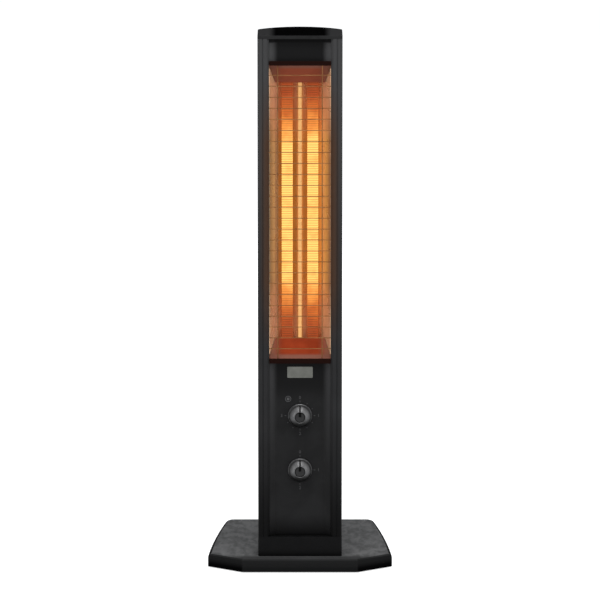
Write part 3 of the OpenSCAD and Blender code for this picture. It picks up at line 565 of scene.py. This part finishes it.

# Panels: black paint, with painted shade at the foot and a painted shadow under the cap, darker over
# the knobs and on the upper panel, with painted light in bands up both sides that fade out down to
# the lower knob
panel_paint = (Finish("panel_paint", (0.013, 0.013, 0.0133), rough=0.46, specular=0.04)
               .vary((0.017, 0.017, 0.0174), spread=0.05, scale=34.0)
               .grained(2200.0, depth=0.00004, pebble=0.35, strength=0.4)
               .worn((0.05, 0.05, 0.05), 0.25)
               .along("Z", 0.084, 0.050, (0.0020, 0.0020, 0.0021))
               .along("Z", 0.245, 0.280, (0.0078, 0.0078, 0.0080))
               .along("Z", 0.70, 0.75, (0.0095, 0.0095, 0.0097))
               .along("X", 0.0315, 0.0415, (0.043, 0.043, 0.044), both=True, rise=(0.14, 0.31))
               .along("X", 0.0310, 0.0425, (0.056, 0.056, 0.057), both=True, rise=(0.60, 0.75))
               .along("Z", 0.7755, 0.7785, (0.0045, 0.0045, 0.0046))
               .done())

# Rear cover: black painted sheet
cover_paint = (Finish("cover_paint", (0.012, 0.012, 0.0125), rough=0.42, specular=0.18)
               .vary((0.017, 0.017, 0.018), spread=0.06, scale=22.0)
               .grained(1400.0, depth=0.00005, pebble=0.3, strength=0.5)
               .worn((0.07, 0.07, 0.07), 0.3)
               .done())

# Base plate: grey primer
primer = (Finish("grey_primer", (0.10, 0.105, 0.11), rough=0.62)
          .vary((0.075, 0.08, 0.085), spread=0.08, scale=28.0)
          .grained(1700.0, depth=0.00005, pebble=0.4, strength=0.6)
          .worn((0.3, 0.3, 0.31), 0.5)
          .done())

# Feet: matt rubber
rubber = (Finish("foot_rubber", (0.012, 0.012, 0.012), rough=0.78, specular=0.3)
          .vary((0.022, 0.021, 0.020), spread=0.08, scale=90.0)
          .grained(1800.0, depth=0.00008, strength=0.6)
          .dusty(0.2).done())

# Screws: yellowish zinc
zinc = (Finish("zinc_plate", (0.52, 0.50, 0.44), rough=0.34, metal=1.0, edge=0.0002)
        .vary((0.44, 0.45, 0.43), spread=0.08, scale=220.0)
        .grained(3200.0, depth=0.00002, pebble=0.4, strength=0.5)
        .worn((0.68, 0.68, 0.66), 0.5)
        .done())

# Tip-over switch and cord gland: black nylon
black_nylon = (Finish("black_nylon", (0.010, 0.010, 0.011), rough=0.40, specular=0.4)
               .vary((0.016, 0.016, 0.017), spread=0.07, scale=120.0)
               .grained(2400.0, depth=0.00004, strength=0.4)
               .worn((0.05, 0.05, 0.05), 0.3)
               .done())

# Tip-over plunger: red plastic
plunger_red = (Finish("plunger_red", (0.36, 0.022, 0.016), rough=0.36)
               .vary((0.28, 0.018, 0.014), spread=0.06, scale=150.0)
               .grained(2400.0, depth=0.00003, strength=0.3)
               .worn((0.5, 0.12, 0.1), 0.3)
               .done())

# Trim plate: bare brushed metal
brushed_trim = (Finish("brushed_trim", (0.12, 0.122, 0.111), rough=0.40, metal=1.0, edge=0.0003)
                .vary((0.10, 0.102, 0.093), spread=0.05, scale=90.0)
                .drawn(ACROSS, depth=0.00002, strength=0.6)
                .worn((0.3, 0.3, 0.29), 0.4)
                .done())

# Brackets: sheet with red glow light painted on, browner higher up, to the sides and forwards,
# and near black at the front edge
bracket_glow_painted = (Finish("bracket_glow_painted", (0.32, 0.043, 0.012), rough=0.55, specular=0.03)
                .vary((0.25, 0.034, 0.010), spread=0.08, scale=50.0)
                .along("Z", 0.50, 0.70, (0.31, 0.074, 0.038))
                .along("X", 0.024, 0.042, (0.27, 0.105, 0.065), both=True)
                .along("Y", -0.0985, -0.1010, (0.25, 0.100, 0.068))
                .along("Y", -0.1035, -0.1060, (0.010, 0.003, 0.002))
                .grained(1900.0, depth=0.00004, pebble=0.4, strength=0.5)
                .done())

# Ribbon lugs: steel scorched by the heat
scorched_lug = (Finish("scorched_lug", (0.13, 0.085, 0.06), rough=0.45, metal=1.0, edge=0.0002)
                .vary((0.07, 0.05, 0.045), spread=0.08, scale=200.0)
                .grained(2600.0, depth=0.00002, pebble=0.4, strength=0.5)
                .done())

# Heat shield: bare sheet
bare_sheet = (Finish("bare_sheet", (0.46, 0.45, 0.43), rough=0.36, metal=1.0)
              .vary((0.36, 0.33, 0.29), spread=0.08, scale=40.0)
              .drawn(ACROSS, depth=0.00003, strength=0.5)
              .worn((0.62, 0.61, 0.58), 0.4)
              .done())

# Reflector: polished sheet; the upright bands at the sides, the paler ends and the bright line
# up the middle are painted on and stand for reflections
polished_sheet = (Finish("polished_sheet", (0.56, 0.32, 0.11), rough=0.30, metal=0.5, edge=0.0008)
                  .vary((0.46, 0.25, 0.08), spread=0.05, scale=26.0)
                  .along("X", -0.028, -0.034, (0.43, 0.31, 0.185))
                  .along("X", -0.037, -0.043, (0.28, 0.20, 0.12))
                  .along("X", 0.026, 0.029, (0.95, 0.60, 0.23))
                  .along("X", 0.034, 0.038, (0.50, 0.30, 0.115))
                  .along("X", 0.0385, 0.0425, (0.30, 0.17, 0.095))
                  .cool_ends((0.90, 0.56, 0.33))
                  .along("X", 0.006, 0.003, (0.87, 0.45, 0.150), both=True)
                  .drawn(UP, depth=0.00001, strength=0.15)
                  .done())

# Element holders: ceramic browned by the heat
steatite = (Finish("steatite", (0.26, 0.13, 0.08), rough=0.62, specular=0.25)
            .vary((0.17, 0.075, 0.045), spread=0.08, scale=110.0)
            .grained(1600.0, depth=0.00008, pebble=0.4, strength=0.6)
            .worn((0.36, 0.22, 0.15), 0.3)
            .done())

# Grille: wire browned by the heat
hot_wire = (Finish("grille_wire", (0.24, 0.115, 0.045), rough=0.50, metal=1.0, edge=0.0002)
            .vary((0.16, 0.070, 0.028), spread=0.08, scale=45.0)
            .grained(2600.0, depth=0.00003, pebble=0.4, strength=0.5)
            .done())

# Switch bodies: brown moulded resin
phenolic = (Finish("brown_phenolic", (0.085, 0.034, 0.018), rough=0.36)
            .vary((0.06, 0.024, 0.013), spread=0.08, scale=150.0)
            .grained(2000.0, depth=0.00005, pebble=0.3, strength=0.5)
            .worn((0.17, 0.08, 0.05), 0.3)
            .done())

# Terminal block: white nylon
white_nylon = (Finish("white_nylon", (0.52, 0.50, 0.44), rough=0.46)
               .vary((0.46, 0.43, 0.36), spread=0.07, scale=120.0)
               .grained(2200.0, depth=0.00004, strength=0.4)
               .worn((0.6, 0.58, 0.53), 0.3)
               .done())

# Shafts and thermal cut-out: turned steel
turned_steel = (Finish("turned_steel", (0.50, 0.50, 0.51), rough=0.28, metal=1.0, edge=0.0002)
                .vary((0.42, 0.42, 0.43), spread=0.06, scale=200.0)
                .drawn(ROUND, depth=0.00002)
                .worn((0.65, 0.65, 0.66), 0.4)
                .done())

# Knobs: satin nickel, with painted shade on what faces down
knob_nickel = (Finish("knob_nickel", (0.106, 0.106, 0.108), rough=0.46, metal=1.0, edge=0.0003)
               .vary((0.090, 0.090, 0.092), spread=0.04, scale=120.0)
               .facing("Z", 0.0, -0.6, (0.016, 0.016, 0.0163))
               .grained(2600.0, depth=0.00002, pebble=0.4, strength=0.4)
               .done())

# Caps of the knobs: black lacquer
cap_lacquer = (Finish("knob_cap_lacquer", (0.006, 0.006, 0.0062), rough=0.40, specular=0.25,
                      edge=0.0003)
               .vary((0.010, 0.010, 0.0103), spread=0.05, scale=200.0)
               .grained(3000.0, depth=0.00002, pebble=0.4, strength=0.4)
               .done())

# Pointers: black
pointer_ink = (Finish("pointer_black", (0.003, 0.003, 0.003), rough=0.60, specular=0.02,
                      edge=0.0002)
               .vary((0.005, 0.005, 0.005), spread=0.05, scale=300.0)
               .grained(3000.0, depth=0.00002)
               .done())

# Dial marks: faint grey print
dial_ink = (Finish("dial_ink", (0.075, 0.075, 0.077), rough=0.55, specular=0.15, edge=0.0001)
            .vary((0.06, 0.06, 0.062), spread=0.06, scale=300.0)
            .grained(3000.0, depth=0.00001)
            .done())

# Ribbons: dark red at the cool ends to yellow where they are hottest
HOT = [(0.0, (0.17, 0.029, 0.008)), (0.25, (0.23, 0.038, 0.010)), (0.5, (0.35, 0.076, 0.014)),
       (0.78, (0.56, 0.20, 0.038)), (1.0, (0.74, 0.42, 0.11))]
glowing_ribbon = (Finish("glowing_ribbon", (0.06, 0.026, 0.010), rough=0.6, specular=0.05,
                         edge=0.0001)
                  .vary((0.035, 0.016, 0.007), spread=0.06, scale=400.0)
                  .grained(3000.0, depth=0.00002)
                  .glow(HOT, strength=1.85, uneven=0.45)
                  .done())

# Mica boards: flaky board with painted glow, less than the ribbons'
WARM = [(0.0, (0.05, 0.010, 0.003)), (0.3, (0.15, 0.025, 0.006)), (1.0, (0.80, 0.26, 0.05))]
hot_mica = (Finish("hot_mica", (0.12, 0.055, 0.018), rough=0.55, specular=0.08, edge=0.0002)
            .vary((0.075, 0.036, 0.013), spread=0.1, scale=160.0)
            .grained(700.0, depth=0.0001, pebble=0.7, strength=0.6)
            .glow(WARM, strength=1.1, uneven=0.45)
            .done())

CAD_FINISHES = {
    base_moulding: ["base_cover"],
    primer: ["base_plate"],
    rubber: ["rubber_feet"],
    zinc: ["base_screws", "tower_screws", "profile_screws", "bracket_screws", "holder_screws",
           "switch_screws"],
    black_nylon: ["tip_switch", "cord_gland", "gland_nut"],
    plunger_red: ["tip_plunger"],
    collar_moulding: ["foot_collar"],
    profile_coat: ["left_profile", "right_profile"],
    cover_paint: ["rear_cover"],
    cap_moulding: ["top_cap"],
    panel_paint: ["control_panel", "upper_panel"],
    brushed_trim: ["trim_plate"],
    white_nylon: ["terminal_block"],
    bare_sheet: ["heat_shield"],
    bracket_glow_painted: ["lower_bracket", "upper_bracket"],
    scorched_lug: ["ribbon_lugs"],
    phenolic: ["thermostat_body", "selector_body"],
    turned_steel: ["thermostat_shaft", "selector_shaft", "thermal_cutout"],
    knob_nickel: ["thermostat_knob", "selector_knob"],
    cap_lacquer: ["thermostat_cap", "selector_cap"],
    steatite: ["left_lower_holder", "left_upper_holder", "right_lower_holder",
               "right_upper_holder"],
    hot_mica: ["left_mica_board", "right_mica_board"],
    glowing_ribbon: ["left_ribbon", "right_ribbon"],
    polished_sheet: ["reflector"],
    hot_wire: ["grille"],
}


# Wound elements: finer turns than the solids have, in the same place

TURNS = 112
LOOP_STRAIGHT = 0.0067
LOOP_RADIUS = 0.00125
RIBBON_WIDTH = 0.0026
RIBBON_THICK = 0.00025
RIBBON_MERGE = 1e-7
BEND_STEPS = 4
BOARD_X = middle("right_mica_board", 0)
BOARD_Y = middle("right_mica_board", 1)


def winding(name, side):
    """A flat ribbon wound on its board: one upright edge drawn out, bent round and drawn back."""
    bm = bmesh.new()
    pitch = (WINDING_HIGH - WINDING_LOW) / TURNS
    low = WINDING_LOW - RIBBON_WIDTH / 2
    start = [bm.verts.new((-LOOP_STRAIGHT, -LOOP_RADIUS, low + h)) for h in (0, RIBBON_WIDTH)]
    edge = bm.edges.new(start)

    def straight(edge, by):
        """The flat length on one face of the board."""
        _, edges = drawn_out(bm, [edge], by)
        return edges[0]

    def bend(edge, centre):
        """Half a turn round the board's edge."""
        out = bmesh.ops.spin(bm, geom=[edge, *edge.verts], cent=centre, axis=(0, 0, 1),
                             angle=math.pi, steps=BEND_STEPS, use_merge=False,
                             use_duplicate=False, dvec=(0, 0, pitch / 4 / BEND_STEPS))
        return next(g for g in out["geom_last"] if isinstance(g, bmesh.types.BMEdge))

    for _ in range(TURNS):
        edge = straight(edge, (2 * LOOP_STRAIGHT, 0, 0))
        edge = bend(edge, (LOOP_STRAIGHT, 0, 0))
        edge = straight(edge, (-2 * LOOP_STRAIGHT, 0, pitch / 2))
        edge = bend(edge, (-LOOP_STRAIGHT, 0, 0))
    bmesh.ops.remove_doubles(bm, verts=bm.verts, dist=RIBBON_MERGE)
    bmesh.ops.recalc_face_normals(bm, faces=bm.faces)
    bmesh.ops.solidify(bm, geom=bm.faces, thickness=RIBBON_THICK)
    moved(bm, bm.verts, (side * BOARD_X, BOARD_Y, 0))
    piece = finish_piece(name, bm)
    paint(piece, glowing_ribbon)
    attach(piece, "tower")
    return piece


# Knobs: a plain rim, a curved cone fluted at its foot, and a recess for the solid's black cap

PANEL_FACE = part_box("trim_plate")[1][1]
THERMOSTAT_Z = middle("thermostat_knob", 2)
SELECTOR_Z = middle("selector_knob", 2)
KNOB_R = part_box("thermostat_knob")[1][0]
KNOB_OUT = PANEL_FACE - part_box("thermostat_knob")[0][1]
KNOB_GAP = 0.0008
RIM_TOP = 0.0026
RECESS_R = 0.0075
RECESS_DEEP = 0.0024
KNOB_SEGMENTS = 144

# Foot, pull and crown of the curve up the cone, as (radius, height) over the panel
DOME_FOOT = Vector((KNOB_R - 0.0010, KNOB_OUT - 0.0085))
DOME_PULL = Vector((KNOB_R - 0.0032, KNOB_OUT - 0.0036))
DOME_CROWN = Vector((RECESS_R + 0.0007, KNOB_OUT))
DOME_STEPS = 12

# Every third segment is drawn in between two heights, where the knob is near its full radius
FLUTES_FROM, FLUTES_TO = 0.0033, 0.0075
FLUTE_DEEP = 0.0005
FLUTE_EVERY = 3
FLUTED_FROM_R = 0.8 * KNOB_R


def dome():
    """Points (radius, height) up the knob's curved cone, from its foot to its crown."""
    return [DOME_FOOT * (1 - t) ** 2 + DOME_PULL * 2 * t * (1 - t) + DOME_CROWN * t ** 2
            for t in (i / DOME_STEPS for i in range(DOME_STEPS + 1))]


def knob_rings():
    """The knob's outline from the panel outwards, as (radius, height)."""
    rim = [(KNOB_R, KNOB_GAP), (KNOB_R, RIM_TOP),
           (KNOB_R - 0.0003, RIM_TOP + 0.0004), (KNOB_R - 0.0007, RIM_TOP + 0.0008)]
    lip = [(RECESS_R + 0.0004, KNOB_OUT - 0.0001), (RECESS_R + 0.0001, KNOB_OUT - 0.0005)]
    return [*rim, *dome(), *lip, (RECESS_R, KNOB_OUT - RECESS_DEEP)]


def flute(bm):
    """Draws the flutes in at the foot of the cone."""
    for v in bm.verts:
        reach = v.co.xy.length
        segment = round(math.atan2(v.co.y, v.co.x) / math.tau * KNOB_SEGMENTS)
        if FLUTES_FROM < v.co.z < FLUTES_TO and reach > FLUTED_FROM_R and segment % FLUTE_EVERY == 0:
            v.co.xy *= 1 - FLUTE_DEEP / reach


def outwards(x, y, z):
    """Stands what is drawn flat up against the panel, its Z outwards."""
    return Matrix.Translation((x, y, z)) @ Matrix.Rotation(math.radians(90), 4, "X")


def knob(name, body, height, node):
    """A turned and fluted knob in place of the solid's."""
    bm = turned(knob_rings(), KNOB_SEGMENTS)
    flute(bm)
    bmesh.ops.transform(bm, matrix=outwards(0, PANEL_FACE, height), verts=bm.verts)
    piece = finish_piece(name, bm)
    paint(piece, knob_nickel)
    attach(piece, body)
    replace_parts(piece, node)


# Pointers: a strip up the cone and a short, wider bar on the black cap

POINTER_W = 0.0022
POINTER_UP = 0.0001
POINTER_THICK = 0.0003
CAP_BAR = (0.0036, 0.0004, 0.0064)
CAP_BAR_Z = 0.0042
CAP_BAR_UP = 0.00005
CAP_BAR_SOFT = 0.0001


def dome_line():
    """A thin strip up the dome, drawn out from a short edge and given a thickness."""
    bm = bmesh.new()
    spots = [Vector((0, -height - POINTER_UP, radius)) for radius, height in dome()]
    ends = [bm.verts.new(spots[0] + Vector((x, 0, 0))) for x in (-POINTER_W / 2, POINTER_W / 2)]
    edges = [bm.edges.new(ends)]
    for before, after in zip(spots, spots[1:]):
        _, edges = drawn_out(bm, edges, after - before)
        edges = edges[:1]
    bmesh.ops.recalc_face_normals(bm, faces=bm.faces)
    bmesh.ops.solidify(bm, geom=bm.faces, thickness=POINTER_THICK)
    return bm


def pointer(name, body, height):
    """The strip and the bar as one piece that turns with its knob."""
    at_dial = Matrix.Translation((0, PANEL_FACE, height))
    cap_bar = bar(CAP_BAR, (0, -KNOB_OUT - CAP_BAR_UP, CAP_BAR_Z), soft=CAP_BAR_SOFT)
    piece = gather(name, [(dome_line(), at_dial), (cap_bar, at_dial)])
    paint(piece, pointer_ink)
    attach(piece, body)


# Dial marks: ticks and numbers round each knob, and a ring with a dot beside the upper one

INK = 0.00006
TICK_W = 0.0007
TICKS_FROM = 0.0196
LONG_TICK, SHORT_TICK = 0.0028, 0.0018
NUMBER_SIZE = 0.0062
NUMBERS_AT = 0.0268
QUARTER = math.radians(90)
RING_OUTER, RING_INNER = 0.0044, 0.0035
RING_SEGMENTS = 48
DOT_R = 0.0021
DOT_SEGMENTS = 32
MARK_AT = (-0.0172, THERMOSTAT_Z + 0.0248)

# Height, ticks, sweep in degrees, ticks from one long one to the next, and numbers of each dial
DIALS = [(THERMOSTAT_Z, 10, 270, 3, "0123"), (SELECTOR_Z, 3, 180, 1, "012")]


def ticks(height, count, sweep, long_every):
    """Ticks spread over a knob's sweep, each drawn upright and turned to its place."""
    spot = Matrix.Translation((0, PANEL_FACE - INK / 2, height))
    for i in range(count):
        length = SHORT_TICK if i % long_every else LONG_TICK
        turn = math.radians(sweep * i / (count - 1))
        yield bar((TICK_W, INK, length), (0, 0, TICKS_FROM + length / 2), turn), spot


def numeral(text, angle, height):
    """A printed number standing upright beside a dial."""
    data = bpy.data.curves.new("numeral", "FONT")
    data.body, data.size, data.extrude = text, NUMBER_SIZE, INK / 2
    data.align_x, data.align_y = "CENTER", "CENTER"
    holder = bpy.data.objects.new("numeral", data)
    scene.collection.objects.link(holder)
    bpy.context.view_layer.update()
    mesh = bpy.data.meshes.new_from_object(
        holder.evaluated_get(bpy.context.evaluated_depsgraph_get()))
    bpy.data.objects.remove(holder)
    bm = bmesh.new()
    bm.from_mesh(mesh)
    bpy.data.meshes.remove(mesh)
    return bm, outwards(NUMBERS_AT * math.sin(angle), PANEL_FACE - INK / 2,
                        height + NUMBERS_AT * math.cos(angle))


def ring_mark(x, z):
    """A flat ring: two circles bridged, given the ink's thickness."""
    bm = bmesh.new()
    for radius in (RING_OUTER, RING_INNER):
        bmesh.ops.create_circle(bm, segments=RING_SEGMENTS, radius=radius)
    bmesh.ops.bridge_loops(bm, edges=bm.edges)
    bmesh.ops.solidify(bm, geom=bm.faces, thickness=INK)
    return bm, outwards(x, PANEL_FACE, z)


def dot_mark(x, z):
    """A flat disc."""
    bm = bmesh.new()
    bmesh.ops.create_cone(bm, cap_ends=True, segments=DOT_SEGMENTS, radius1=DOT_R, radius2=DOT_R,
                          depth=INK)
    return bm, outwards(x, PANEL_FACE, z)


def dial_marks():
    """All the print on the panel as one piece."""
    parts = []
    for height, count, sweep, long_every, _ in DIALS:
        parts.extend(ticks(height, count, sweep, long_every))
    for height, *_, numbers in DIALS:
        parts.extend(numeral(text, i * QUARTER, height) for i, text in enumerate(numbers))
    parts += [ring_mark(*MARK_AT), dot_mark(*MARK_AT)]
    piece = gather("dial_marks", parts, flat=True)
    paint(piece, dial_ink)
    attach(piece, "tower")


# Assembly

make_camera()
make_world()
for softbox in SOFTBOXES:
    make_lamp(*softbox)
make_floor()

for material, names in CAD_FINISHES.items():
    for name in names:
        paint(nodes[name], material)

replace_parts(winding("left_winding", -1), "left_ribbon")
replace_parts(winding("right_winding", 1), "right_ribbon")
knob("thermostat_dial", "thermostat_dial", THERMOSTAT_Z, "thermostat_knob")
pointer("thermostat_dial_pointer", "thermostat_dial", THERMOSTAT_Z)
knob("selector_dial", "selector_dial", SELECTOR_Z, "selector_knob")
pointer("selector_dial_pointer", "selector_dial", SELECTOR_Z)
dial_marks()
